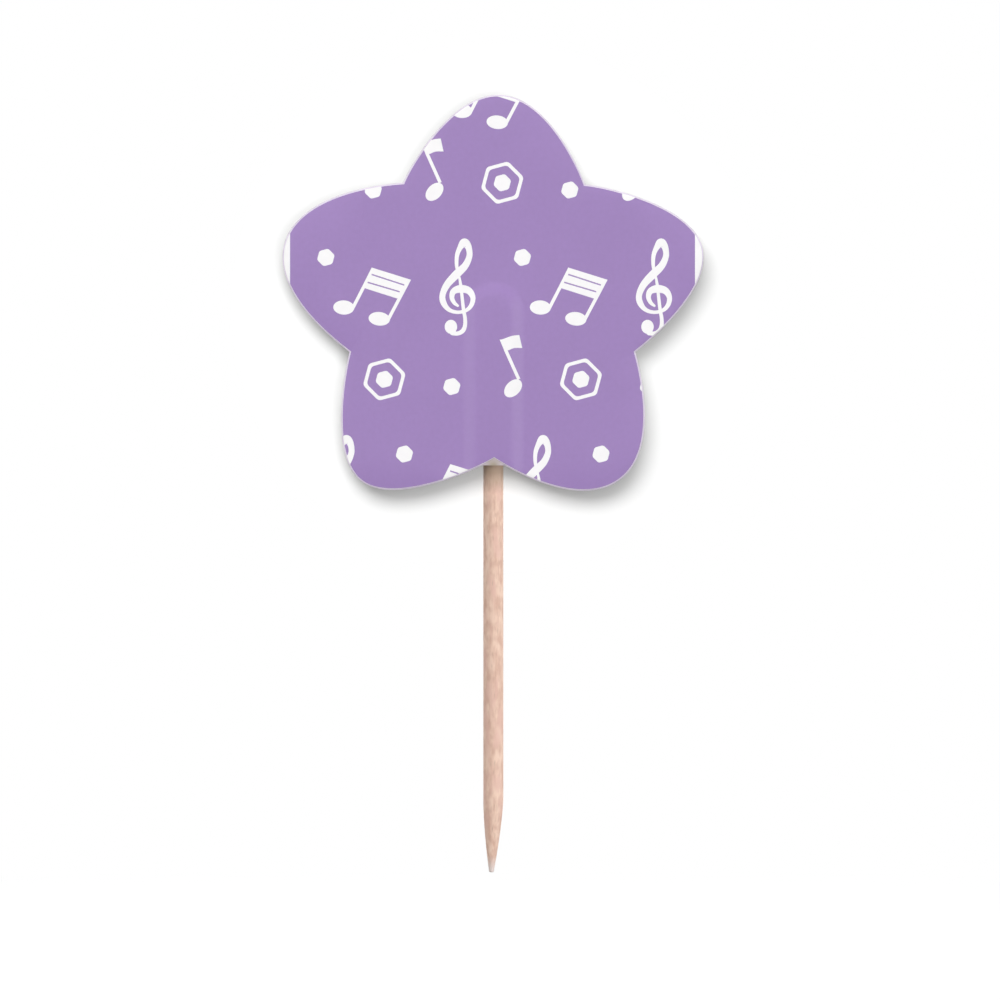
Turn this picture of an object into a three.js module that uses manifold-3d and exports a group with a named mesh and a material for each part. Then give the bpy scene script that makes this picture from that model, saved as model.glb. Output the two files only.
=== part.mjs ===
// A cupcake pick: a five-lobed paper star on a pointed wooden stick.
// Millimetres, +Z up. The printed face looks towards -Y, and the origin is on the stick's axis,
// level with its point.
import * as THREE from 'three';
import { mergeVertices } from 'three/addons/utils/BufferGeometryUtils.js';
import Module from 'manifold-3d';

const wasm = await Module();
wasm.setup();

// Stick: a round cocktail stick, sharpened below and cut square above
const STICK_DIAMETER = 2.07;
const STICK_LENGTH = 58.5;
const POINT_LENGTH = 7.5;
const POINT_DIAMETER = 0.5; // of the blunt tip
const POINT_ROUNDING = 0.12; // height of the tip's bevel
const POINT_EASE = 1.5; // above 1, the taper starts gently and steepens towards the tip
const POINT_DRIFT = 0.2; // the sharpened end lies this far left of the stick's axis
const POINT_STEPS = 8;
const STICK_SIDES = 28;

// Star outline, seen from the front and cut by hand, so that no two lobes are quite alike
const STAR_HEIGHT = 58.15; // the star's centre above the stick's point
const STAR_SHIFT = 0.03; // the star's centre beside the stick's axis
const LOBE_RADIUS = 22.0; // from the centre to the lobes' tips
const NOTCH_RADIUS = 15.5; // from the centre to the notches between two lobes
const TIP_HANDLE_LENGTH = 4.85; // how far a lobe's curve runs on straight at its tip
const FLANK_HANDLE_LENGTH = 1.56; // and at its notches
const FLANK_ANGLE = 69.8; // degrees between a flank and the line across its lobe, at the notch
const CURVE_STEPS = 10; // straight pieces in each half of a lobe

// Each lobe's share of the common radius and of the common breadth at its tip. It leans by some
// degrees clockwise of its own fifth of the circle.
const LOBES = [
  { stretch: 0.978, breadth: 1.01, lean: 1.6 }, // top
  { stretch: 1.004, breadth: 0.93, lean: 2.0 }, // right
  { stretch: 0.995, breadth: 1.08, lean: 0.1 }, // lower right
  { stretch: 1.017, breadth: 0.88, lean: 1.0 }, // lower left
  { stretch: 1.011, breadth: 1.1, lean: -1.0 }, // left
];

// The notches, clockwise from the one left of the top lobe: their share of the common radius,
// and how many degrees clockwise of the middle between their lobes they lie
const NOTCHES = [
  { stretch: 1.0, lean: -0.3 },
  { stretch: 0.995, lean: 0.9 },
  { stretch: 0.975, lean: 0.0 },
  { stretch: 1.0, lean: -0.2 }, // over the stick
  { stretch: 0.99, lean: 0.3 },
];

// Layers, front to back
const LABEL_THICKNESS = 0.1;
const FRONT_CARD_THICKNESS = 0.3;
const GLUE_THICKNESS = 0.1;
const GLUE_OVER_STICK = 0.05;
const BACK_CARD_THICKNESS = 0.25;
const SEAM = 0.02; // clearance between two layers, and round the stick
const CARD_RIM = 0.15; // the cards show this far past the label
const CARD_NOTCH_FILL = 0.85; // the cards' bottom notch is cut square, this far below the label's
const GLUE_INSET = 1.2; // the glue stops this far inside the label's edge

// Ridge where the layers pass over the stick: a flat top, and a smooth slope down to each side
const RIDGE_TOP_MARGIN = 0.56; // flat top beyond the stick's radius
const FRONT_RIDGE = 0.5; // height of the ridge on the stiffer printed side
const FRONT_SLOPE = 1.75;
const BACK_SLOPE = 2.4;
const SLOPE_STEPS = 6;
const RIDGE_END_SIDES = 36;

// Depths from the stick's axis, negative towards the front
const stickRadius = STICK_DIAMETER / 2;
const channelRadius = stickRadius + SEAM;
const overStick = channelRadius + GLUE_OVER_STICK + SEAM; // a card's inner face above the stick
const ridgeTop = stickRadius + RIDGE_TOP_MARGIN;
const frontCardInner = -overStick + FRONT_RIDGE;
const frontCardOuter = frontCardInner - FRONT_CARD_THICKNESS;
const labelInner = frontCardOuter - SEAM;
const labelOuter = labelInner - LABEL_THICKNESS;
const glueFront = frontCardInner + SEAM;
const glueBack = glueFront + GLUE_THICKNESS;
const backCardInner = glueBack + SEAM;
const backCardOuter = backCardInner + BACK_CARD_THICKNESS;
const ample = STICK_LENGTH + STAR_HEIGHT; // larger than the star and deeper than its layers

// The ridges on the two sides. side is -1 towards the front and 1 towards the back.
const frontForm = { side: -1, height: FRONT_RIDGE, slope: FRONT_SLOPE };
const backForm = { side: 1, height: overStick - backCardInner, slope: BACK_SLOPE };

const paper = { roughness: 0.8, metalness: 0 };
const materials = {
  label: new THREE.MeshStandardMaterial({ color: 0xa388bf, ...paper }),
  frontCard: new THREE.MeshStandardMaterial({ color: 0xf4f1ee, ...paper }),
  backCard: new THREE.MeshStandardMaterial({ color: 0xf7f6f4, ...paper }),
  glue: new THREE.MeshStandardMaterial({ color: 0xe9e4d8, roughness: 0.45, metalness: 0 }),
  wood: new THREE.MeshStandardMaterial({ color: 0xdcb8a0, roughness: 0.75, metalness: 0 }),
};

// A closed mesh as a solid that can be joined and cut.
function toSolid(geometry) {
  const bare = new THREE.BufferGeometry();
  bare.setAttribute('position', geometry.getAttribute('position'));
  bare.setIndex(geometry.getIndex());
  const merged = mergeVertices(bare, 1e-6);
  const corners = merged.getIndex().array;
  const triangles = [];
  for (let i = 0; i < corners.length; i += 3) {
    const [a, b, c] = corners.slice(i, i + 3);
    if (a !== b && b !== c && c !== a) triangles.push(a, b, c);
  }
  return new wasm.Manifold(new wasm.Mesh({
    numProp: 3,
    vertProperties: Float32Array.from(merged.getAttribute('position').array),
    triVerts: Uint32Array.from(triangles),
  }));
}

function toMesh(name, solid, material) {
  const { vertProperties, triVerts } = solid.getMesh();
  const geometry = new THREE.BufferGeometry();
  geometry.setAttribute('position', new THREE.BufferAttribute(vertProperties, 3));
  geometry.setIndex(new THREE.BufferAttribute(triVerts, 1));
  geometry.computeVertexNormals();
  const mesh = new THREE.Mesh(geometry, material);
  mesh.name = name;
  return mesh;
}

// A point at a distance and a clockwise angle in degrees from straight up. Its x is the
// model's X and its y is the model's Z.
function around(distance, degrees) {
  const angle = THREE.MathUtils.degToRad(degrees);
  return new THREE.Vector2(Math.sin(angle), Math.cos(angle)).multiplyScalar(distance);
}

// Half a lobe from its tip to a notch, with the star's centre at zero and the lobe upright.
// side is 1 for the right half and -1 for the left one.
function halfLobe(lobe, notch, side) {
  const tip = around(LOBE_RADIUS * lobe.stretch, lobe.lean);
  const end = around(NOTCH_RADIUS * notch.stretch, side * 180 / LOBES.length + notch.lean);
  const tipHandle = around(side * TIP_HANDLE_LENGTH * lobe.breadth, lobe.lean + 90).add(tip);
  const flank = side * (FLANK_ANGLE - 90) + notch.lean;
  const flankHandle = around(FLANK_HANDLE_LENGTH, flank).add(end);
  return new THREE.CubicBezierCurve(tip, tipHandle, flankHandle, end).getPoints(CURVE_STEPS);
}

// The star's edge, clockwise from the notch left of the top lobe.
function starOutline() {
  const origin = new THREE.Vector2();
  const centre = new THREE.Vector2(STAR_SHIFT, STAR_HEIGHT);
  return LOBES.flatMap((lobe, i) => {
    const left = halfLobe(lobe, NOTCHES[i], -1).reverse();
    const right = halfLobe(lobe, NOTCHES[(i + 1) % NOTCHES.length], 1).slice(1, -1);
    const turn = -2 * Math.PI * i / LOBES.length;
    return [...left, ...right].map((point) => point.rotateAround(origin, turn).add(centre));
  });
}

// The outline moved outwards by a margin, or inwards by a negative one.
function grown(outline, margin) {
  const outward = (from, to) => new THREE.Vector2(from.y - to.y, to.x - from.x).normalize();
  return outline.map((point, i) => {
    const before = outward(outline.at(i - 1), point);
    const after = outward(point, outline[(i + 1) % outline.length]);
    const stretch = margin / (1 + before.dot(after));
    return point.clone().add(before.add(after).multiplyScalar(stretch));
  });
}

// The outline with the point of its bottom notch filled down to a straight edge at a height.
function withSquareNotch(outline, height) {
  const underRidge = (p) => p.y < STAR_HEIGHT && Math.abs(p.x) < ridgeTop + BACK_SLOPE;
  const filled = (p) => p.y > height && underRidge(p);
  return outline.flatMap((point, i) => {
    const next = outline[(i + 1) % outline.length];
    const kept = filled(point) ? [] : [point];
    if (filled(point) === filled(next)) return kept;
    return [...kept, point.clone().lerp(next, (height - point.y) / (next.y - point.y))];
  });
}

// A prism with the given outline that passes through every layer.
function prism(outline) {
  const options = { depth: ample, bevelEnabled: false };
  const geometry = new THREE.ExtrudeGeometry(new THREE.Shape(outline), options);
  return toSolid(geometry.rotateX(Math.PI / 2).translate(0, ample / 2, 0));
}

// A block under a flat face, wider than the star. side is -1 where the face looks to the
// front and 1 where it looks to the back.
function flatBlock(face, side) {
  const geometry = new THREE.BoxGeometry(ample, ample, ample);
  return toSolid(geometry.translate(STAR_SHIFT, face - side * ample / 2, STAR_HEIGHT));
}

// The ridge that rises over the stick from a flat face: a long bar with a domed end.
function ridge(face, { side, height, slope }) {
  const foot = face - side * STICK_DIAMETER;
  const profile = [];
  for (let i = 0; i <= SLOPE_STEPS; i += 1) {
    const share = i / SLOPE_STEPS;
    const rise = height * (1 - THREE.MathUtils.smoothstep(share, 0, 1));
    profile.push(new THREE.Vector2(ridgeTop + slope * share, face + side * rise));
  }
  const end = STICK_LENGTH - stickRadius;
  const mirrored = profile.map((p) => new THREE.Vector2(-p.x, p.y)).reverse();
  const wide = ridgeTop + slope;
  const section = new THREE.Shape([
    new THREE.Vector2(-wide, foot), ...mirrored, ...profile, new THREE.Vector2(wide, foot),
  ]);
  const bar = new THREE.ExtrudeGeometry(section, { depth: end, bevelEnabled: false });
  const turned = [
    new THREE.Vector2(0, foot), new THREE.Vector2(wide, foot), ...profile.toReversed(),
    new THREE.Vector2(0, face + side * height),
  ];
  if (side < 0) turned.reverse();
  const dome = new THREE.LatheGeometry(turned, RIDGE_END_SIDES).translate(0, 0, end);
  return toSolid(bar).add(toSolid(dome));
}

// Everything under a layer's face, with the ridge.
function under(face, ridgeForm) {
  return flatBlock(face, ridgeForm.side).add(ridge(face, ridgeForm));
}

// A sheet of paper between an outer and an inner face that rise over the stick alike.
function sheet(outline, outer, inner, ridgeForm) {
  const outside = under(outer, ridgeForm);
  const inside = under(inner, ridgeForm);
  return outside.subtract(inside).intersect(prism(outline));
}

// The stick turned from its profile, with the sharpened end drawn to one side.
function stickGeometry() {
  const profile = [new THREE.Vector2(0, 0)];
  for (let i = 0; i <= POINT_STEPS; i += 1) {
    const share = i / POINT_STEPS;
    const growth = 1 - (1 - share) ** POINT_EASE;
    const radius = THREE.MathUtils.lerp(POINT_DIAMETER / 2, stickRadius, growth);
    const height = THREE.MathUtils.lerp(POINT_ROUNDING, POINT_LENGTH, share);
    profile.push(new THREE.Vector2(radius, height));
  }
  profile.push(new THREE.Vector2(stickRadius, STICK_LENGTH), new THREE.Vector2(0, STICK_LENGTH));
  const geometry = new THREE.LatheGeometry(profile, STICK_SIDES).rotateX(Math.PI / 2);
  const corners = geometry.getAttribute('position');
  for (let i = 0; i < corners.count; i += 1) {
    const above = Math.min(corners.getZ(i) / POINT_LENGTH, 1);
    corners.setX(i, corners.getX(i) - POINT_DRIFT * (1 - above));
  }
  return geometry;
}

const labelOutline = starOutline();
const notchHeight = STAR_HEIGHT - NOTCH_RADIUS - CARD_NOTCH_FILL;
const cardOutline = withSquareNotch(grown(labelOutline, CARD_RIM), notchHeight);
const glueOutline = grown(labelOutline, -GLUE_INSET);

const label = sheet(labelOutline, labelOuter, labelInner, frontForm);
const frontCard = sheet(cardOutline, frontCardOuter, frontCardInner, frontForm);
const backCard = sheet(cardOutline, backCardOuter, backCardInner, backForm);

// The glue fills what the cards leave round the stick, down to a channel for the stick itself.
const channelLength = STICK_LENGTH + SEAM;
const channel = new THREE.CylinderGeometry(channelRadius, channelRadius, channelLength, STICK_SIDES);
channel.rotateX(Math.PI / 2).translate(0, 0, channelLength / 2);
const adhesive = under(glueFront, frontForm)
  .intersect(under(glueBack, backForm))
  .intersect(prism(glueOutline))
  .subtract(toSolid(channel));

const pick = new THREE.Group();
pick.add(toMesh('printed_label', label, materials.label));
pick.add(toMesh('front_card', frontCard, materials.frontCard));
pick.add(toMesh('adhesive', adhesive, materials.glue));
pick.add(toMesh('stick', toSolid(stickGeometry()), materials.wood));
pick.add(toMesh('back_card', backCard, materials.backCard));

export default pick;
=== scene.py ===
"""A cupcake pick: a star of layered card with a music print, glued round a pointed wooden stick.

Lengths are millimetres until a mesh is made. +Z is up, and the printed face looks towards -Y.
Flat outlines are lists of (x, z), as they are seen from the front.
"""
import math

import bpy
import numpy as np
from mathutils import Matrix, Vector, noise
from mathutils.geometry import delaunay_2d_cdt


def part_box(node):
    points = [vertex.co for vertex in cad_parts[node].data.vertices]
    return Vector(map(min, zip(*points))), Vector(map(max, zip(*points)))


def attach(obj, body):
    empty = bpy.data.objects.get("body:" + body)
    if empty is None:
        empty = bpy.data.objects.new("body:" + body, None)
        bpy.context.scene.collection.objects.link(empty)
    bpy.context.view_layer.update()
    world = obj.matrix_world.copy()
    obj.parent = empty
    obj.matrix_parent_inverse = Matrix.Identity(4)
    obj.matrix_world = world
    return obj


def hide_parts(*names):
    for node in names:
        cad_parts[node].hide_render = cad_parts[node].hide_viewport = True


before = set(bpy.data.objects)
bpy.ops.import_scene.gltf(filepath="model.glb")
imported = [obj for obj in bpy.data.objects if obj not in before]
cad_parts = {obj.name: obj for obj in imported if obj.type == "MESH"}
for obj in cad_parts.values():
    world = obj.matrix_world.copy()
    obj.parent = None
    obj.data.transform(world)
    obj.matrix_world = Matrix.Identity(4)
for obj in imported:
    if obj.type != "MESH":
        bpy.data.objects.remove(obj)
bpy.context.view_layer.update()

MM = 0.001
BODY = "root"


def node_box(node):
    """A node's lowest and highest corners, in millimetres."""
    low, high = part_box(node)
    return low / MM, high / MM


# The star's outline, drawn as its solids draw it. Each lobe and notch takes a share of the
# common radius and leans by some degrees clockwise. The notches start left of the top lobe.
STAR_HEIGHT = 58.15
STAR_SHIFT = 0.03
LOBE_RADIUS = 22.0
NOTCH_RADIUS = 15.5
TIP_HANDLE_LENGTH = 4.85
FLANK_HANDLE_LENGTH = 1.56
FLANK_ANGLE = 69.8
LOBES = [
    {"stretch": 0.978, "breadth": 1.01, "lean": 1.6},
    {"stretch": 1.004, "breadth": 0.93, "lean": 2.0},
    {"stretch": 0.995, "breadth": 1.08, "lean": 0.1},
    {"stretch": 1.017, "breadth": 0.88, "lean": 1.0},
    {"stretch": 1.011, "breadth": 1.1, "lean": -1.0},
]
NOTCHES = [
    {"stretch": 1.0, "lean": -0.3},
    {"stretch": 0.995, "lean": 0.9},
    {"stretch": 0.975, "lean": 0.0},
    {"stretch": 1.0, "lean": -0.2},
    {"stretch": 0.99, "lean": 0.3},
]
CURVE_STEPS = 28
CARD_RIM = 0.15
CARD_NOTCH_FILL = 0.85
card_notch = STAR_HEIGHT - NOTCH_RADIUS - CARD_NOTCH_FILL

# Layers. A ridge over the stick has a height, a flat top and a slope on each side. A bevel has
# a width and a depth.
FRONT_RIDGE = 0.5
FRONT_SLOPE = 1.75
BACK_SLOPE = 2.4
BACK_CARD_THICKNESS = 0.25
RIDGE_TOP_MARGIN = 0.56
SLOPE_STEPS = 10
LABEL_BEVEL = (0.03, 0.01)
CARD_BEVEL = (0.03, 0.012)

label_low, label_high = node_box("printed_label")
front_low, front_high = node_box("front_card")
back_low, back_high = node_box("back_card")
stick_high = node_box("stick")[1]
stick_radius = stick_high.y
back_flat = back_low.y + BACK_CARD_THICKNESS
back_ridge = back_high.y - back_flat
ridge_top = stick_radius + RIDGE_TOP_MARGIN
ridge_end = stick_high.z - stick_radius

# Stick. Wear is a share of its radius.
POINT_LENGTH = 7.5
POINT_DIAMETER = 0.5
POINT_ROUNDING = 0.12
POINT_EASE = 1.5
POINT_DRIFT = 0.2
BROAD_WEAR = 0.004
FINE_WEAR = 0.002

# Print: a lattice of motifs, whose rows step sideways. Each motif's place is measured from
# the lattice's first dot.
PRINT_ORIGIN = (-17.20, 63.13)
PRINT_PITCH = 20.16
ROW_STEP = 8.06
PANEL_LEFT = -20.85
PANEL_RIGHT = 20.68
HEXAGON_TURN = 15
DOT_RADIUS = 0.94
DOT_ROUNDING = 0.35
RING_OUTER = 2.27
RING_INNER = 1.86
RING_ROUNDING = 0.5
STEM_HALF_WIDTH = 0.17
BEAM_LINE_HALF_WIDTH = 0.07


def around(distance, degrees):
    """A flat point at a distance and a clockwise angle from straight up."""
    angle = math.radians(degrees)
    return np.array([math.sin(angle), math.cos(angle)]) * distance


def half_lobe(lobe, notch, side):
    """Half a lobe from its tip to a notch, with the star's centre at zero and the lobe upright."""
    tip = around(LOBE_RADIUS * lobe["stretch"], lobe["lean"])
    end = around(NOTCH_RADIUS * notch["stretch"], side * 180 / len(LOBES) + notch["lean"])
    tip_handle = tip + around(side * TIP_HANDLE_LENGTH * lobe["breadth"], lobe["lean"] + 90)
    flank_handle = end + around(FLANK_HANDLE_LENGTH, side * (FLANK_ANGLE - 90) + notch["lean"])
    curve = []
    for step in range(CURVE_STEPS + 1):
        t = step / CURVE_STEPS
        s = 1 - t
        near_tip = s ** 3 * tip + 3 * s * s * t * tip_handle
        curve.append(near_tip + 3 * s * t * t * flank_handle + t ** 3 * end)
    return curve


def star_outline():
    """The star's edge, clockwise from the notch left of the top lobe."""
    outline = []
    for index, lobe in enumerate(LOBES):
        turn = 2 * math.pi * index / len(LOBES)
        left = half_lobe(lobe, NOTCHES[index], -1)[::-1]
        right = half_lobe(lobe, NOTCHES[(index + 1) % len(NOTCHES)], 1)[1:-1]
        for x, z in left + right:
            outline.append((
                STAR_SHIFT + x * math.cos(turn) + z * math.sin(turn),
                STAR_HEIGHT - x * math.sin(turn) + z * math.cos(turn),
            ))
    return outline


def outward(before, point, after):
    """The direction that moves an edge's corner outwards by one, on a clockwise outline."""
    into = np.array([before[1] - point[1], point[0] - before[0]])
    out = np.array([point[1] - after[1], after[0] - point[0]])
    into = into / np.linalg.norm(into)
    out = out / np.linalg.norm(out)
    return (into + out) / (1 + into @ out)


def grown(outline, margin):
    """A clockwise outline moved outwards by a margin, or inwards by a negative one."""
    moved = []
    for index, point in enumerate(outline):
        after = outline[(index + 1) % len(outline)]
        moved.append(tuple(point + margin * outward(outline[index - 1], point, after)))
    return moved


def with_square_notch(outline, height):
    """The outline with the point of its bottom notch filled down to a straight edge."""
    def filled(point):
        return height < point[1] < STAR_HEIGHT and abs(point[0]) < ridge_top + BACK_SLOPE

    squared = []
    for index, point in enumerate(outline):
        after = outline[(index + 1) % len(outline)]
        if not filled(point):
            squared.append(point)
        if filled(point) != filled(after):
            share = (height - point[1]) / (after[1] - point[1])
            squared.append((point[0] + share * (after[0] - point[0]), height))
    return squared


def smooth_curve(points, steps=6):
    """A Catmull-Rom curve through points of any number of coordinates."""
    curve = []
    last = len(points) - 1
    for span in range(last):
        four = [np.array(points[min(max(span + k, 0), last)], float) for k in (-1, 0, 1, 2)]
        a, b, c, d = four
        for step in range(steps):
            t = step / steps
            bend = (2 * a - 5 * b + 4 * c - d) * t * t + (3 * b - a - 3 * c + d) * t ** 3
            curve.append(0.5 * (2 * b + (c - a) * t + bend))
    curve.append(np.array(points[-1], float))
    return curve


def brush(points, end_steps=5):
    """The outline of a stroke with round ends through points (x, z, half width)."""
    line = smooth_curve(points)
    left, right, headings = [], [], []
    for index, (x, z, half) in enumerate(line):
        before = line[max(index - 1, 0)]
        after = line[min(index + 1, len(line) - 1)]
        heading = math.atan2(after[1] - before[1], after[0] - before[0])
        headings.append(heading)
        left.append((x - half * math.sin(heading), z + half * math.cos(heading)))
        right.append((x + half * math.sin(heading), z - half * math.cos(heading)))

    def cap(end, heading):
        x, z, half = end
        turns = [heading - math.pi * step / end_steps for step in range(1, end_steps)]
        return [(x + half * math.cos(turn), z + half * math.sin(turn)) for turn in turns]

    far = cap(line[-1], headings[-1] + math.pi / 2)
    near = cap(line[0], headings[0] - math.pi / 2)
    return left + far + right[::-1] + near


def bar(x0, z0, x1, z1, half):
    """A straight stroke with square ends."""
    heading = math.atan2(z1 - z0, x1 - x0)
    dx, dz = half * math.sin(heading), half * math.cos(heading)
    return [(x0 - dx, z0 + dz), (x1 - dx, z1 + dz), (x1 + dx, z1 - dz), (x0 + dx, z0 - dz)]


def ellipse(x, z, half_length, half_width, turn=0, sides=32):
    """An ellipse whose length is turned anticlockwise from level."""
    tilt = math.radians(turn)
    ring = []
    for side in range(sides):
        angle = 2 * math.pi * side / sides
        along, across = half_length * math.cos(angle), half_width * math.sin(angle)
        ring.append((
            x + along * math.cos(tilt) - across * math.sin(tilt),
            z + along * math.sin(tilt) + across * math.cos(tilt),
        ))
    return ring


def hexagon(radius, rounding, corner_steps=4):
    """A hexagon with round corners, the first of them HEXAGON_TURN degrees clockwise of the top."""
    ring = []
    reach = radius - rounding / math.cos(math.radians(30))
    for corner in range(6):
        heading = HEXAGON_TURN + 60 * corner
        centre = around(reach, heading)
        for step in range(corner_steps + 1):
            ring.append(tuple(centre + around(rounding, heading - 30 + 60 * step / corner_steps)))
    return ring


# A motif is a list of outlines, each painted over those before it: WHITE leaves the paper bare.
WHITE = True
INKED = False


def dot():
    """A small round-cornered hexagon. Zero is its centre."""
    return [(WHITE, hexagon(DOT_RADIUS, DOT_ROUNDING))]


def ringed_dot():
    """A dot in a hexagonal ring. Zero is its centre."""
    ring = [(WHITE, hexagon(RING_OUTER, RING_ROUNDING)), (INKED, hexagon(RING_INNER, RING_ROUNDING))]
    return ring + dot()


def treble_clef():
    """One stroke from the inner end of the curl, up round the loop and down the stem to the ball."""
    stroke = [
        (0.02, -1.93, 0.13),
        (-0.36, -1.60, 0.20),
        (-0.58, -1.05, 0.25),
        (-0.40, -0.45, 0.32),
        (0.29, -0.20, 0.40),
        (1.14, -0.38, 0.36),
        (1.57, -1.08, 0.27),
        (1.42, -1.86, 0.23),
        (0.88, -2.41, 0.19),
        (-0.03, -2.60, 0.18),
        (-0.90, -2.32, 0.22),
        (-1.45, -1.60, 0.31),
        (-1.53, -0.77, 0.31),
        (-1.04, 0.28, 0.36),
        (-0.08, 1.32, 0.42),
        (0.76, 2.15, 0.36),
        (1.19, 3.05, 0.31),
        (1.20, 3.75, 0.31),
        (1.00, 4.30, 0.38),
        (0.66, 4.53, 0.44),
        (0.25, 4.02, 0.28),
        (-0.05, 3.24, 0.22),
        (-0.09, 2.20, 0.18),
        (0.08, 1.30, 0.13),
        (0.21, 0.85, 0.13),
        (0.32, 0.17, 0.16),
        (0.42, -0.65, 0.165),
        (0.61, -2.30, 0.18),
        (0.77, -3.21, 0.19),
        (0.76, -3.98, 0.21),
        (0.52, -4.52, 0.23),
        (0.00, -4.78, 0.21),
        (-0.55, -4.72, 0.24),
    ]
    return [(WHITE, brush(stroke)), (WHITE, ellipse(-0.68, -4.09, 0.64, 0.72))]


def beamed_notes():
    """Two notes under a leaning slab of beams, which two thin lines part. Zero is the slab's left corner."""
    heads = [ellipse(-2.86, -4.10, 1.08, 0.73, -3), ellipse(0.78, -5.26, 1.10, 0.70, -6)]
    stems = [
        bar(-0.06, -0.51, -2.01, -4.31, STEM_HALF_WIDTH),
        bar(3.60, -1.74, 1.70, -5.33, STEM_HALF_WIDTH),
    ]
    slab = [(0, 0), (4.04, -1.26), (3.03, -3.17), (2.59, -3.17), (-0.68, -2.13), (-1.07, -2.13)]
    lines = [
        bar(0, -0.71, 3.34, -1.80, BEAM_LINE_HALF_WIDTH),
        bar(-0.41, -1.52, 2.87, -2.49, BEAM_LINE_HALF_WIDTH),
    ]
    return [(WHITE, shape) for shape in heads + stems + [slab]] + [(INKED, line) for line in lines]


def single_note():
    """A note with a waving flag. Zero is the flag's left corner."""
    top_edge = smooth_curve([(0, 0), (0.30, 0.03), (1.0, 0.29), (1.5, 0.42), (2.02, 0.47)], 3)
    low_edge = smooth_curve([(2.32, -0.86), (1.51, -0.87), (0.92, -1.10), (0.46, -1.10)], 3)
    flag = [tuple(point) for point in top_edge + low_edge]
    stem = bar(0.585, -0.995, 1.97, -4.07, STEM_HALF_WIDTH)
    return [(WHITE, flag), (WHITE, stem), (WHITE, ellipse(1.385, -4.995, 1.09, 0.73, 46))]


MOTIFS = [
    (dot, 0.02, 0),
    (dot, 12.94, -13.24),
    (ringed_dot, 6.02, -12.50),
    (beamed_notes, 4.72, -1.03),
    (single_note, 17.84, -8.43),
    (treble_clef, 13.53, -3.02),
]


def printed_outlines(outline):
    """Every motif's outlines that touch the star, in the order in which they are painted."""
    low, high = np.min(outline, axis=0), np.max(outline, axis=0)
    found = []
    for row in range(-2, 3):
        for column in range(-2, 4):
            for draw, x, z in MOTIFS:
                place = (
                    PRINT_ORIGIN[0] + x + column * PRINT_PITCH + row * ROW_STEP,
                    PRINT_ORIGIN[1] + z - row * PRINT_PITCH,
                )
                for white, shape in draw():
                    ring = np.array(shape) + place
                    if (ring.max(axis=0) > low).all() and (ring.min(axis=0) < high).all():
                        found.append((white, ring))
    return found


def inside(points, outline):
    """Which points an outline goes round, also where it crosses itself."""
    ring = np.array(outline)
    after = np.roll(ring, -1, axis=0)
    near = np.all((points >= ring.min(axis=0)) & (points <= ring.max(axis=0)), axis=1)
    x, z = points[near, 0:1], points[near, 1:2]
    side = (after[:, 0] - ring[:, 0]) * (z - ring[:, 1]) - (x - ring[:, 0]) * (after[:, 1] - ring[:, 1])
    rising = (ring[:, 1] <= z) & (after[:, 1] > z) & (side > 0)
    falling = (after[:, 1] <= z) & (ring[:, 1] > z) & (side < 0)
    result = np.zeros(len(points), bool)
    result[near] = rising.sum(axis=1) != falling.sum(axis=1)
    return result


def rise(x, z, slope):
    """How far up the ridge over the stick a point lies, from 0 on the flat to 1 on its top."""
    share = (np.hypot(x, np.maximum(z - ridge_end, 0)) - ridge_top) / slope
    share = np.clip(share, 0, 1)
    return 1 - share * share * (3 - 2 * share)


def ridge_contours(slope, step=1.0, dome_steps=24):
    """Lines of equal height on the ridge's slopes, which go up, round the stick's end and down."""
    bottom = STAR_HEIGHT - LOBE_RADIUS
    foot = np.linspace(bottom, ridge_end, round((ridge_end - bottom) / step))
    turns = [math.pi * k / dome_steps for k in range(1, dome_steps)]
    lines = []
    for index in range(SLOPE_STEPS + 1):
        half = ridge_top + slope * index / SLOPE_STEPS
        left = [(-half, z) for z in foot]
        dome = [(-half * math.cos(turn), ridge_end + half * math.sin(turn)) for turn in turns]
        right = [(half, z) for z in foot[::-1]]
        lines.append(left + dome + right)
    return lines


def triangulated(rings, lines):
    """The triangles between closed rings and open lines. Where two cross, a corner is added."""
    corners, edges = [], []
    for points, closed in [(ring, True) for ring in rings] + [(line, False) for line in lines]:
        first, count = len(corners), len(points)
        corners.extend(Vector((float(x), float(z))) for x, z in points)
        edges.extend((first + k, first + k + 1) for k in range(count - 1))
        if closed:
            edges.append((first + count - 1, first))
    found = delaunay_2d_cdt(corners, edges, [], 0, 1e-5)
    return np.array([tuple(corner) for corner in found[0]]), np.array(found[2])


def border_loop(triangles):
    """The corners along the edge of a flat sheet of triangles, anticlockwise."""
    edges = {(t[k], t[(k + 1) % 3]) for t in triangles.tolist() for k in range(3)}
    after = {start: end for start, end in edges if (end, start) not in edges}
    loop = [min(after)]
    while after[loop[-1]] != loop[0]:
        loop.append(after[loop[-1]])
    return loop


def flat_sheet(edge, slope, outlines, panel_lines):
    """The corners and triangles inside an edge, split along the ridge's contours and the print."""
    rings = [edge] + [ring for _, ring in outlines]
    corners, triangles = triangulated(rings, ridge_contours(slope) + panel_lines)
    triangles = triangles[inside(corners[triangles].mean(axis=1), edge)]
    used, triangles = np.unique(triangles, return_inverse=True)
    return corners[used], triangles.reshape(-1, 3)


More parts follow.
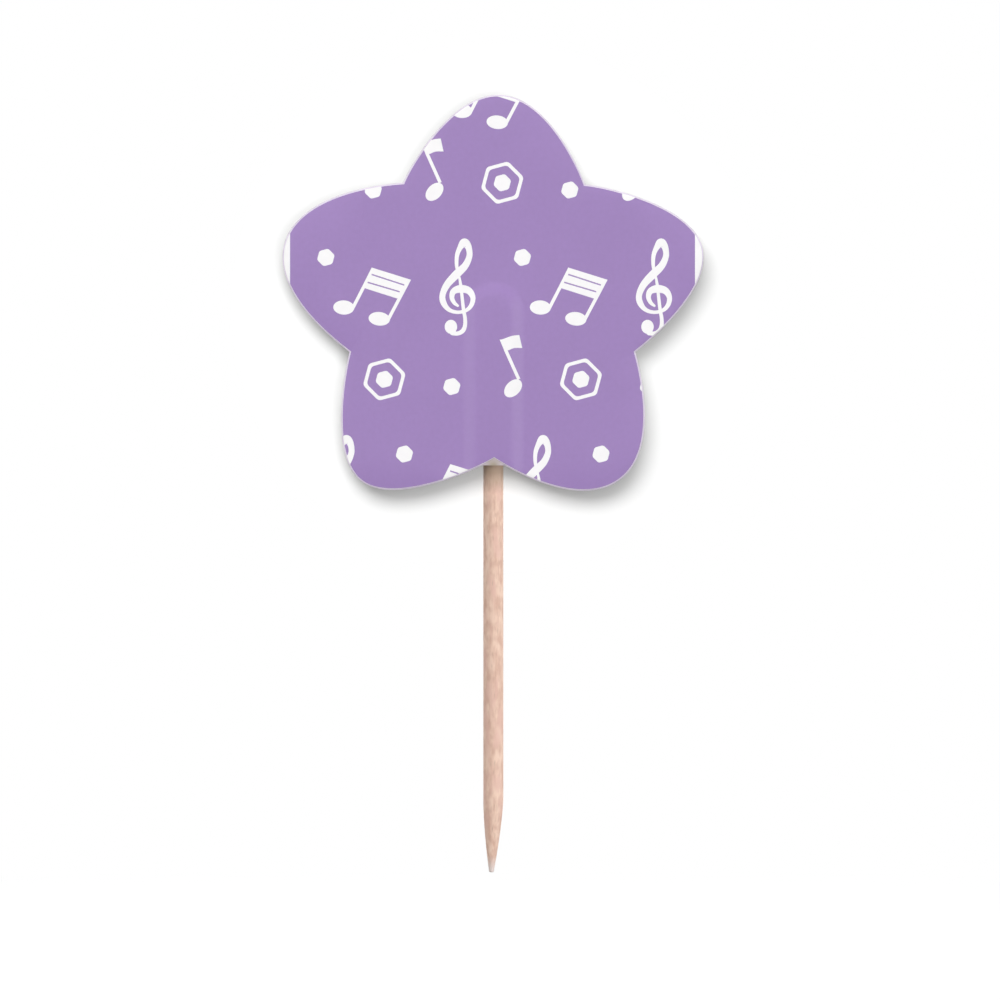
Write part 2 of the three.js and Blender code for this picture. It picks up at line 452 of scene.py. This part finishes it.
def sheet_mesh(name, corners, triangles, front, back, bevel):
    """A closed sheet with a bevelled edge. front and back tell how far back its two faces lie
    at (x, z)."""
    border = border_loop(triangles)
    rim = np.array(grown([tuple(corners[i]) for i in reversed(border)], bevel[0])[::-1])
    x, z = corners[:, 0], corners[:, 1]
    rim_x, rim_z = rim[:, 0], rim[:, 1]
    layers = [
        np.column_stack([x, front(x, z), z]),
        np.column_stack([x, back(x, z), z]),
        np.column_stack([rim_x, front(rim_x, rim_z) + bevel[1], rim_z]),
        np.column_stack([rim_x, back(rim_x, rim_z) - bevel[1], rim_z]),
    ]
    count = len(corners)
    faces = triangles.tolist() + (triangles[:, ::-1] + count).tolist()
    around_edge = [
        border,
        [2 * count + k for k in range(len(border))],
        [2 * count + len(border) + k for k in range(len(border))],
        [count + i for i in border],
    ]
    for outer, inner in zip(around_edge, around_edge[1:]):
        for k in range(len(border)):
            after = (k + 1) % len(border)
            faces.append([outer[k], inner[k], inner[after], outer[after]])
    return new_mesh(name, np.concatenate(layers), faces)


def new_mesh(name, corners, faces, sharp_angle=30):
    """A smooth mesh object from corners in millimetres, with creases where faces turn sharply."""
    mesh = bpy.data.meshes.new(name)
    mesh.from_pydata((np.asarray(corners) * MM).tolist(), [], faces)
    mesh.polygons.foreach_set("use_smooth", [True] * len(mesh.polygons))
    mesh.set_sharp_from_angle(angle=math.radians(sharp_angle))
    mesh.update()
    piece = bpy.data.objects.new(name, mesh)
    bpy.context.scene.collection.objects.link(piece)
    return piece


def add_piece(piece, node):
    """Lets a piece stand for a node of the frame."""
    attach(piece, BODY)
    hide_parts(node)
    return piece


# Materials. Every colour is linear, and every size in them is in millimetres.
# Painted shade: the colour that the front card turns to in the notch above the stick.
NOTCH_PAINTED_SHADE = (0.41, 0.35, 0.28)


class Shading:
    """A material's node tree, with short names for the nodes that the materials here use."""

    def __init__(self, name):
        self.material = bpy.data.materials.new(name)
        self.material.use_nodes = True
        self.nodes = self.material.node_tree.nodes
        self.links = self.material.node_tree.links
        self.shader = self.nodes["Principled BSDF"]
        self.place = self.nodes.new("ShaderNodeTexCoord").outputs["Object"]

    def set(self, socket, value):
        """Links a socket of the shader to an output, or sets it to a number or a colour."""
        target = self.shader.inputs[socket]
        if isinstance(value, bpy.types.NodeSocket):
            self.links.new(value, target)
        elif isinstance(value, tuple):
            target.default_value = (*value, 1)
        else:
            target.default_value = value

    def stretched(self, x, y, z):
        """The place on the piece, with each axis stretched by a factor of its own."""
        mapping = self.nodes.new("ShaderNodeMapping")
        mapping.vector_type = "TEXTURE"
        mapping.inputs["Scale"].default_value = (x, y, z)
        self.links.new(self.place, mapping.inputs["Vector"])
        return mapping.outputs["Vector"]

    def noise(self, grain, place=None, detail=3.0, roughness=0.5):
        """Noise whose spots are about grain millimetres wide."""
        texture = self.nodes.new("ShaderNodeTexNoise")
        texture.inputs["Scale"].default_value = 1 / (grain * MM)
        texture.inputs["Detail"].default_value = detail
        texture.inputs["Roughness"].default_value = roughness
        self.links.new(place or self.place, texture.inputs["Vector"])
        return texture.outputs["Fac"]

    def ranged(self, value, low, high, to_low=0.0, to_high=1.0):
        """A value moved from one range to another, and kept inside the new one."""
        node = self.nodes.new("ShaderNodeMapRange")
        node.inputs["From Min"].default_value = low
        node.inputs["From Max"].default_value = high
        node.inputs["To Min"].default_value = to_low
        node.inputs["To Max"].default_value = to_high
        self.links.new(value, node.inputs["Value"])
        return node.outputs["Result"]

    def mixed(self, share, first, second):
        """Two colours mixed by a share. Each is a colour or an output."""
        node = self.nodes.new("ShaderNodeMix")
        node.data_type = "RGBA"
        self.links.new(share, node.inputs["Factor"])
        for socket, colour in ((node.inputs[6], first), (node.inputs[7], second)):
            if isinstance(colour, tuple):
                socket.default_value = (*colour, 1)
            else:
                self.links.new(colour, socket)
        return node.outputs[2]

    def added(self, first, second, share):
        """One value plus a share of another."""
        node = self.nodes.new("ShaderNodeMath")
        node.operation = "MULTIPLY_ADD"
        node.inputs[1].default_value = share
        self.links.new(second, node.inputs[0])
        self.links.new(first, node.inputs[2])
        return node.outputs[0]

    def close_to(self, point, inner, outer, most=1.0):
        """A share that is most within inner millimetres of a point, and fades to 0 at outer."""
        node = self.nodes.new("ShaderNodeVectorMath")
        node.operation = "DISTANCE"
        node.inputs[1].default_value = Vector(point) * MM
        self.links.new(self.place, node.inputs[0])
        return self.ranged(node.outputs["Value"], inner * MM, outer * MM, most, 0)

    def bump(self, height, depth):
        """Relief depth millimetres deep, on top of any that the shader has already."""
        node = self.nodes.new("ShaderNodeBump")
        node.inputs["Distance"].default_value = depth * MM
        self.links.new(height, node.inputs["Height"])
        normal = self.shader.inputs["Normal"]
        if normal.is_linked:
            self.links.new(normal.links[0].from_socket, node.inputs["Normal"])
        self.links.new(node.outputs["Normal"], normal)


def scaled(colour, factor):
    return tuple(channel * factor for channel in colour)


def paper_relief(shading, fibre_depth):
    """Paper's fibres, and the slow unevenness of a sheet pressed on glue."""
    fibres = shading.noise(0.22, shading.stretched(1, 1, 0.6), detail=5, roughness=0.6)
    shading.bump(fibres, fibre_depth)
    shading.bump(shading.noise(5.0, detail=1), 0.02)


def ink_material():
    """Purple ink on coated paper, a little uneven in density."""
    shading = Shading("purple_ink")
    density = shading.added(shading.noise(0.5, detail=4), shading.noise(7.0, detail=2), 0.7)
    purple = (0.323, 0.206, 0.477)
    shading.set("Base Color", shading.mixed(
        shading.ranged(density, 0.6, 1.1), scaled(purple, 0.975), scaled(purple, 1.025)))
    shading.set("Roughness", shading.ranged(shading.noise(0.3), 0.3, 0.7, 0.38, 0.46))
    paper_relief(shading, 0.002)
    return shading.material


def label_paper_material():
    """The coated white paper that the print leaves bare."""
    shading = Shading("label_paper")
    white = (0.94, 0.93, 0.935)
    shading.set("Base Color", shading.mixed(
        shading.ranged(shading.noise(0.8, detail=4), 0.35, 0.65), scaled(white, 0.985), white))
    shading.set("Roughness", shading.ranged(shading.noise(0.3), 0.3, 0.7, 0.45, 0.55))
    paper_relief(shading, 0.003)
    return shading.material


def card_material(name, colour, roughness, painted_shade=None):
    """Uncoated card: soft fibres, and faint layers that run along a cut edge. A painted shade,
    if any, is given by its place and its inner and outer reach."""
    shading = Shading(name)
    layers = shading.noise(0.06, shading.stretched(12, 1, 12), detail=3)
    mottle = shading.added(shading.noise(0.9, detail=5), layers, 0.5)
    tint = shading.mixed(shading.ranged(mottle, 0.5, 1.0), scaled(colour, 0.95), scaled(colour, 1.02))
    # Painted shade: near the given place the card is darkened towards a shade colour.
    if painted_shade:
        tint = shading.mixed(shading.close_to(*painted_shade), tint, NOTCH_PAINTED_SHADE)
    shading.set("Base Color", tint)
    shading.set("Roughness", roughness)
    shading.bump(layers, 0.006)
    paper_relief(shading, 0.008)
    return shading.material


def glue_material():
    """Dried paper glue: pale, a little see-through and uneven."""
    shading = Shading("dried_glue")
    glue = (0.81, 0.77, 0.69)
    shading.set("Base Color", shading.mixed(
        shading.ranged(shading.noise(1.5, detail=4), 0.3, 0.7), scaled(glue, 0.93), glue))
    shading.set("Roughness", shading.ranged(shading.noise(0.8), 0.3, 0.7, 0.3, 0.5))
    shading.bump(shading.noise(0.7, detail=3), 0.03)
    return shading.material


def wood_material():
    """Pale birch: long fine grain, peach and pink blotches, and short darker pores along the
    grain. A painted shadow darkens the wood where it leaves the star, in place of the star's shadow on it,
    and the wood turns paler towards the point."""
    shading = Shading("birch_wood")
    pale, warm, pink = (0.93, 0.675, 0.54), (0.73, 0.47, 0.365), (0.83, 0.54, 0.45)
    dark, painted_shadow, paler_point = (0.56, 0.38, 0.28), (0.37, 0.265, 0.19), (0.93, 0.86, 0.84)
    blotches = shading.noise(0.55, shading.stretched(1, 1, 2.2), detail=2)
    grain = shading.noise(0.12, shading.stretched(1, 1, 20), detail=3)
    tone = shading.added(blotches, grain, 0.45)
    body = shading.mixed(shading.ranged(tone, 0.56, 0.88), warm, pale)
    flush = shading.noise(1.1, shading.stretched(1, 1, 2.5), detail=1)
    body = shading.mixed(shading.ranged(flush, 0.48, 0.62, 0, 0.7), body, pink)
    pores = shading.noise(0.2, shading.stretched(1, 1, 6), detail=1)
    body = shading.mixed(shading.ranged(pores, 0.62, 0.80, 0, 0.5), body, dark)
    # Painted shadow: the wood is darkened just below where it leaves the star, in place of the star's shadow
    # on it.
    inside_star = (0, 0, card_notch + 1.2)
    body = shading.mixed(shading.close_to(inside_star, 2.2, 4.2, 0.95), body, painted_shadow)
    # The wood turns paler towards the point.
    tip = (-POINT_DRIFT, 0, 0)
    shading.set("Base Color", shading.mixed(shading.close_to(tip, 0.4, 1.8, 0.7), body, paler_point))
    shading.set("Roughness", shading.ranged(grain, 0.3, 0.7, 0.5, 0.65))
    shading.bump(grain, 0.015)
    shading.bump(pores, -0.012)
    return shading.material


# Pieces
def front_face(flat):
    """How far back a face of the front layers lies at (x, z), from where its flat part lies."""
    return lambda x, z: flat - FRONT_RIDGE * rise(x, z, FRONT_SLOPE)


def back_face(flat):
    """The same for the back card, whose ridge goes backwards."""
    return lambda x, z: flat + back_ridge * rise(x, z, BACK_SLOPE)


def printed_label(outline):
    """The printed paper. Its ink and its bare motifs are faces of one sheet, and the paper's
    white core shows as a fine bevel round them."""
    outlines = printed_outlines(outline)
    low, high = np.min(outline, axis=0)[1], np.max(outline, axis=0)[1]
    panel_lines = [[(x, low), (x, high)] for x in (PANEL_LEFT, PANEL_RIGHT)]
    corners, triangles = flat_sheet(outline, FRONT_SLOPE, outlines, panel_lines)
    middles = corners[triangles].mean(axis=1)
    bare = (middles[:, 0] < PANEL_LEFT) | (middles[:, 0] > PANEL_RIGHT)
    for white, ring in outlines:
        bare[inside(middles, ring)] = white
    front = front_face(label_low.y + FRONT_RIDGE)
    back = front_face(label_high.y)
    piece = sheet_mesh("label_print", corners, triangles, front, back, LABEL_BEVEL)
    piece.data.materials.append(ink_material())
    piece.data.materials.append(label_paper_material())
    slots = np.ones(len(piece.data.polygons), int)
    slots[:len(bare)] = bare
    piece.data.polygons.foreach_set("material_index", slots)
    return add_piece(piece, "printed_label")


def front_card(outline):
    """The card behind the label: a fine rim of it shows, whose greyish lilac is painted shade along
    that edge. A painted shade also darkens it in the notch above the stick.
    """
    edge = grown(outline, -CARD_BEVEL[0])
    corners, triangles = flat_sheet(edge, FRONT_SLOPE, [], [])
    front = front_face(front_low.y + FRONT_RIDGE)
    back = front_face(front_high.y)
    piece = sheet_mesh("front_board", corners, triangles, front, back, CARD_BEVEL)
    # A greyish lilac, darker than white card: painted shade along the rim.
    lilac_painted_shade = (0.71, 0.625, 0.765)
    # Painted shade in the notch above the stick, where the card lies in shade.
    painted_shade = ((0, front_low.y, card_notch), 0.2, 1.4)
    piece.data.materials.append(card_material("front_card", lilac_painted_shade, 0.7, painted_shade))
    return add_piece(piece, "front_card")


def back_card(outline):
    """The plain card that closes the back."""
    edge = grown(outline, -CARD_BEVEL[0])
    corners, triangles = flat_sheet(edge, BACK_SLOPE, [], [])
    piece = sheet_mesh(
        "back_board", corners, triangles, back_face(back_low.y), back_face(back_flat), CARD_BEVEL)
    white = (0.90, 0.89, 0.875)
    piece.data.materials.append(card_material("back_card", white, 0.8))
    return add_piece(piece, "back_card")


def radius_at(z):
    """The stick's radius at a height: a rounded tip, then a taper that grows gentler upwards."""
    share = (z - POINT_ROUNDING) / (POINT_LENGTH - POINT_ROUNDING)
    growth = 1 - (1 - min(max(share, 0), 1)) ** POINT_EASE
    tip = math.sqrt(1 - (1 - min(z / POINT_ROUNDING, 1)) ** 2)
    return tip * (POINT_DIAMETER / 2 + growth * (stick_radius - POINT_DIAMETER / 2))


def wooden_stick(sides=72, step=0.25):
    """A round stick with a sharpened end, a little uneven, as turned wood is."""
    tip_heights = POINT_ROUNDING * np.array([0.1, 0.35, 0.7])
    heights = np.concatenate([tip_heights, np.arange(POINT_ROUNDING, stick_high.z, step), [stick_high.z]])
    corners, faces = [(-POINT_DRIFT, 0, 0)], []
    for z in heights:
        drift = -POINT_DRIFT * (1 - min(z / POINT_LENGTH, 1))
        for side in range(sides):
            angle = 2 * math.pi * side / sides
            across, deep = math.cos(angle), math.sin(angle)
            broad = noise.noise(Vector((across * 1.5, deep * 1.5, z * 0.12)))
            fine = noise.noise(Vector((across * 9, deep * 9, z * 0.5)))
            radius = radius_at(z) * (1 - BROAD_WEAR * (1 + broad) - FINE_WEAR * (1 + fine))
            corners.append((drift + radius * across, radius * deep, z))
    corners.append((0, 0, stick_high.z))
    for side in range(sides):
        faces.append((0, 1 + (side + 1) % sides, 1 + side))
    for ring in range(len(heights) - 1):
        for side in range(sides):
            low = 1 + ring * sides + side
            low_next = 1 + ring * sides + (side + 1) % sides
            faces.append((low, low_next, low_next + sides, low + sides))
    top = 1 + (len(heights) - 1) * sides
    for side in range(sides):
        faces.append((top + side, top + (side + 1) % sides, len(corners) - 1))
    piece = new_mesh("wooden_stick", corners, faces, 50)
    piece.data.materials.append(wood_material())
    return add_piece(piece, "stick")


def glue_layer():
    """The glue's solid is right as it is, and only takes a finish."""
    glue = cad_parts["adhesive"]
    glue.data.materials.clear()
    glue.data.materials.append(glue_material())
    return glue


# Stage
IMAGE_SIZE = 1000
PIXEL = 0.10256
STICK_AXIS_PIXEL = 492.83
STICK_POINT_PIXEL = 872.5
LENS = 200
SENSOR = 36
BACKDROP_DEPTH = 2.2
BACKDROP_RADIUS = 28
BACKDROP_CLEAR = (25, 27.5)
FLOOR_HEIGHT = -15
FLOOR_REACH = 1200
FLOOR_CLEAR = (70, 220)
LAMP_DISTANCE = 1500

# Each lamp's azimuth to the right of the camera, elevation, level on a white sheet that faces
# it, angular width, and angular height where that is another. The soft lamps light the whole
# pick and the floor, the star's and the stick's lamps shape only these, and the shadow's lamps
# fall only on the backdrop.
SOFT_LAMPS = {
    "key": (-8, 45, 0.42, 40),
    "front": (0, 8, 0.23, 36),
    "back_left": (215, 35, 0.65, 40),
    "back_right": (140, 25, 0.50, 40),
}
STAR_LAMPS = {"right": (45, 5, 0.40, 36), "left": (-45, 5, 0.28, 36)}
STICK_LAMPS = {
    "stick_front": (-10, 5, 0.12, 36),
    "stick_right": (70, 5, 0.50, 36),
    "stick_left": (-80, 5, 0.06, 36),
}
SHADOW_LAMPS = {"slanting": (-11, 25, 2.52, 44, 30), "level": (9, -4, 1.26, 34)}
FILL_LEVEL = 0.17
BACKDROP_TONE = 0.30
BACKDROP_GLOW = 0.02
FLOOR_TONE = 0.85
FLOOR_GLOW = 0.22


def add_camera():
    """A long lens, level and square to the star, whose frame is as wide as the photograph's."""
    data = bpy.data.cameras.new("camera")
    data.lens = LENS
    data.sensor_width = SENSOR
    camera = bpy.data.objects.new("camera", data)
    middle = (IMAGE_SIZE - 1) / 2
    distance = IMAGE_SIZE * PIXEL * LENS / SENSOR
    camera.location = Vector((
        (middle - STICK_AXIS_PIXEL) * PIXEL,
        label_low.y + FRONT_RIDGE - distance,
        (STICK_POINT_PIXEL - middle) * PIXEL,
    )) * MM
    camera.rotation_euler = (math.radians(90), 0, 0)
    bpy.context.scene.collection.objects.link(camera)
    bpy.context.scene.camera = camera


def add_lamp(name, azimuth, elevation, level, width, height=None):
    """An oval lamp aimed at the star's centre."""
    turn, lift = math.radians(azimuth), math.radians(elevation)
    heading = Vector((math.sin(turn) * math.cos(lift), -math.cos(turn) * math.cos(lift), math.sin(lift)))
    data = bpy.data.lights.new(name, "AREA")
    data.shape = "ELLIPSE"
    data.size = 2 * LAMP_DISTANCE * math.tan(math.radians(width / 2)) * MM
    data.size_y = 2 * LAMP_DISTANCE * math.tan(math.radians((height or width) / 2)) * MM
    data.energy = level * (math.pi * LAMP_DISTANCE * MM) ** 2
    lamp = bpy.data.objects.new(name, data)
    lamp.location = (Vector((STAR_SHIFT, 0, STAR_HEIGHT)) + heading * LAMP_DISTANCE) * MM
    lamp.rotation_euler = heading.to_track_quat("Z", "Y").to_euler()
    lamp.visible_camera = False
    bpy.context.scene.collection.objects.link(lamp)
    return lamp


def add_lamps(lamps, receivers, blockers=None, glossy=True):
    """Lamps that light the receivers alone. Only the blockers cast shadows there, if any are
    given, and otherwise everything does."""
    links = {"receiver_collection": receivers}
    if blockers:
        links["blocker_collection"] = blockers
    for name, values in lamps.items():
        lamp = add_lamp(name, *values)
        lamp.visible_glossy = glossy
        for link, members in links.items():
            group = bpy.data.collections.new(name + "_" + link)
            for member in members:
                group.objects.link(member)
            setattr(lamp.light_linking, link, group)


def add_world():
    """White to the camera and in reflections, and a dim even fill for everything else."""
    world = bpy.data.worlds.new("world")
    world.use_nodes = True
    nodes, links = world.node_tree.nodes, world.node_tree.links
    path = nodes.new("ShaderNodeLightPath")
    seen = None
    for ray in ("Is Camera Ray", "Is Glossy Ray", "Is Transmission Ray"):
        if seen is None:
            seen = path.outputs[ray]
            continue
        either = nodes.new("ShaderNodeMath")
        either.operation = "MAXIMUM"
        links.new(seen, either.inputs[0])
        links.new(path.outputs[ray], either.inputs[1])
        seen = either.outputs[0]
    strength = nodes.new("ShaderNodeMapRange")
    strength.inputs["To Min"].default_value = FILL_LEVEL
    links.new(seen, strength.inputs["Value"])
    background = nodes["Background"]
    background.inputs["Color"].default_value = (1, 1, 1, 1)
    links.new(strength.outputs["Result"], background.inputs["Strength"])
    bpy.context.scene.world = world


class StageSheet:
    """A pale matt sheet with a glow for the camera alone."""

    def __init__(self, name, tone, glow):
        self.material = bpy.data.materials.new(name)
        self.material.use_nodes = True
        self.nodes = self.material.node_tree.nodes
        self.links = self.material.node_tree.links
        self.nodes.remove(self.nodes["Principled BSDF"])
        self.output = self.nodes["Material Output"].inputs["Surface"]
        matt = self.nodes.new("ShaderNodeBsdfDiffuse")
        matt.inputs["Color"].default_value = (tone, tone, tone, 1)
        sheet = self.nodes.new("ShaderNodeAddShader")
        self.links.new(matt.outputs[0], sheet.inputs[0])
        self.links.new(self.glow(glow), sheet.inputs[1])
        self.links.new(sheet.outputs[0], self.output)

    def glow(self, strength):
        """White light of a strength, which only the camera sees."""
        path = self.nodes.new("ShaderNodeLightPath")
        seen = self.nodes.new("ShaderNodeMath")
        seen.operation = "MULTIPLY"
        seen.inputs[1].default_value = strength
        light = self.nodes.new("ShaderNodeEmission")
        self.links.new(path.outputs["Is Camera Ray"], seen.inputs[0])
        self.links.new(seen.outputs[0], light.inputs["Strength"])
        return light.outputs[0]

    def turn_into(self, other, share):
        """Mixes another shader into the sheet by a share."""
        sheet = self.output.links[0].from_socket
        either = self.nodes.new("ShaderNodeMixShader")
        self.links.new(share, either.inputs[0])
        self.links.new(sheet, either.inputs[1])
        self.links.new(other, either.inputs[2])
        self.links.new(either.outputs[0], self.output)

    def clear_from_behind(self):
        """Lets the sheet be seen through from behind, so that it hides nothing in other views."""
        side = self.nodes.new("ShaderNodeNewGeometry").outputs["Backfacing"]
        self.turn_into(self.nodes.new("ShaderNodeBsdfTransparent").outputs[0], side)

    def white_beyond(self, inner, outer, centre=(0, 0, 0)):
        """Turns the sheet into plain white between two distances from a centre."""
        distance = self.nodes.new("ShaderNodeVectorMath")
        distance.operation = "DISTANCE"
        distance.inputs[1].default_value = Vector(centre) * MM
        growth = self.nodes.new("ShaderNodeMapRange")
        growth.interpolation_type = "SMOOTHSTEP"
        growth.inputs["From Min"].default_value = inner * MM
        growth.inputs["From Max"].default_value = outer * MM
        place = self.nodes.new("ShaderNodeTexCoord").outputs["Object"]
        self.links.new(place, distance.inputs[0])
        self.links.new(distance.outputs["Value"], growth.inputs["Value"])
        self.turn_into(self.glow(1), growth.outputs["Result"])


def add_backdrop():
    """A round sheet close behind the star, which only shows the star's shadow."""
    ring = ellipse(STAR_SHIFT, STAR_HEIGHT, BACKDROP_RADIUS, BACKDROP_RADIUS, sides=96)
    places = [(x, BACKDROP_DEPTH, z) for x, z in ring]
    backdrop = new_mesh("backdrop", places, [list(range(len(places)))])
    sheet = StageSheet("backdrop", BACKDROP_TONE, BACKDROP_GLOW)
    sheet.white_beyond(*BACKDROP_CLEAR, (STAR_SHIFT, BACKDROP_DEPTH, STAR_HEIGHT))
    sheet.clear_from_behind()
    backdrop.data.materials.append(sheet.material)
    for ray in ("diffuse", "glossy", "transmission", "shadow"):
        setattr(backdrop, "visible_" + ray, False)
    return backdrop


def add_floor():
    """A level floor below the picture, which turns white away from the object's shadow."""
    floor = new_mesh("floor", [
        (-FLOOR_REACH, -FLOOR_REACH, FLOOR_HEIGHT),
        (FLOOR_REACH, -FLOOR_REACH, FLOOR_HEIGHT),
        (FLOOR_REACH, FLOOR_REACH, FLOOR_HEIGHT),
        (-FLOOR_REACH, FLOOR_REACH, FLOOR_HEIGHT),
    ], [(0, 1, 2, 3)])
    sheet = StageSheet("floor", FLOOR_TONE, FLOOR_GLOW)
    sheet.white_beyond(*FLOOR_CLEAR)
    floor.data.materials.append(sheet.material)
    for ray in ("diffuse", "glossy"):
        setattr(floor, "visible_" + ray, False)
    return floor


star = star_outline()
card = with_square_notch(grown(star, CARD_RIM), card_notch)
star_pieces = [printed_label(star), front_card(card), back_card(card), glue_layer()]
stick = wooden_stick()

add_camera()
add_world()
add_lamps(SOFT_LAMPS, star_pieces + [stick, add_floor()], glossy=False)
add_lamps(STAR_LAMPS, star_pieces)
add_lamps(STICK_LAMPS, [stick], [stick])
add_lamps(SHADOW_LAMPS, [add_backdrop()], star_pieces)
bpy.context.scene.view_settings.view_transform = "Standard"
